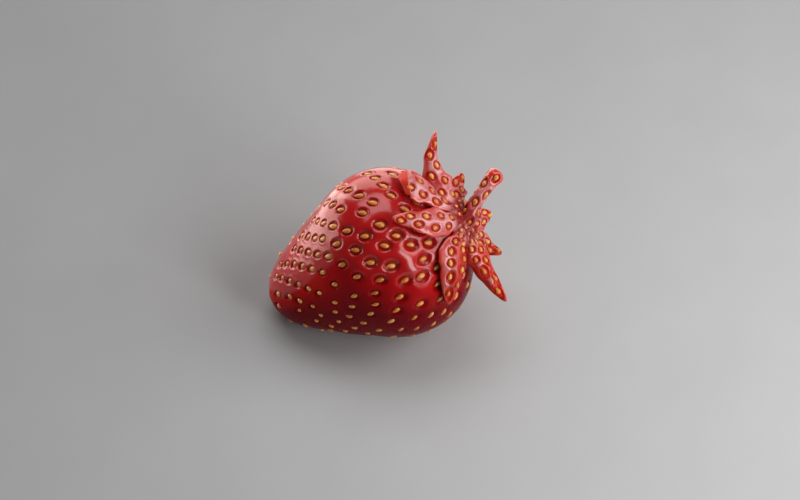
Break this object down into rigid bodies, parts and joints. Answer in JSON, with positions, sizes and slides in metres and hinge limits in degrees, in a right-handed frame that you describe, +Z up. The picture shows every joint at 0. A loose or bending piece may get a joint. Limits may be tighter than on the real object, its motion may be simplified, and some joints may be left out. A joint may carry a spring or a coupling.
{
  "type": "strawberry",
  "caption": "Ripe strawberry lying on its side: a rounded cone of pitted red flesh with golden seeds, a ring of pointed red calyx leaves and a short round-ended stalk.",
  "frame": {"origin": "middle of the small flat spot under the belly that the berry rests on", "axes": "+Z up, +X from the tip towards the leafy end, +Y to the left of that, seen from above"},
  "size_m": [0.041, 0.0289, 0.0326],
  "materials": {
    "flesh": "glossy wet-looking skin, deep red, darker below",
    "calyx": "glossy red flesh, paler pink on its faces, orange-red where it is thin",
    "seeds": "smooth golden yellow"
  },
  "bodies": {
    "root": {"fruit": "flesh", "stem": "calyx", "sepal_1": "calyx", "sepal_2": "calyx", "sepal_3": "calyx", "sepal_4": "calyx", "sepal_5": "calyx", "sepal_6": "calyx", "sepal_7": "calyx", "sepal_8": "calyx", "sepal_9": "calyx"}
  },
  "joints": []
}
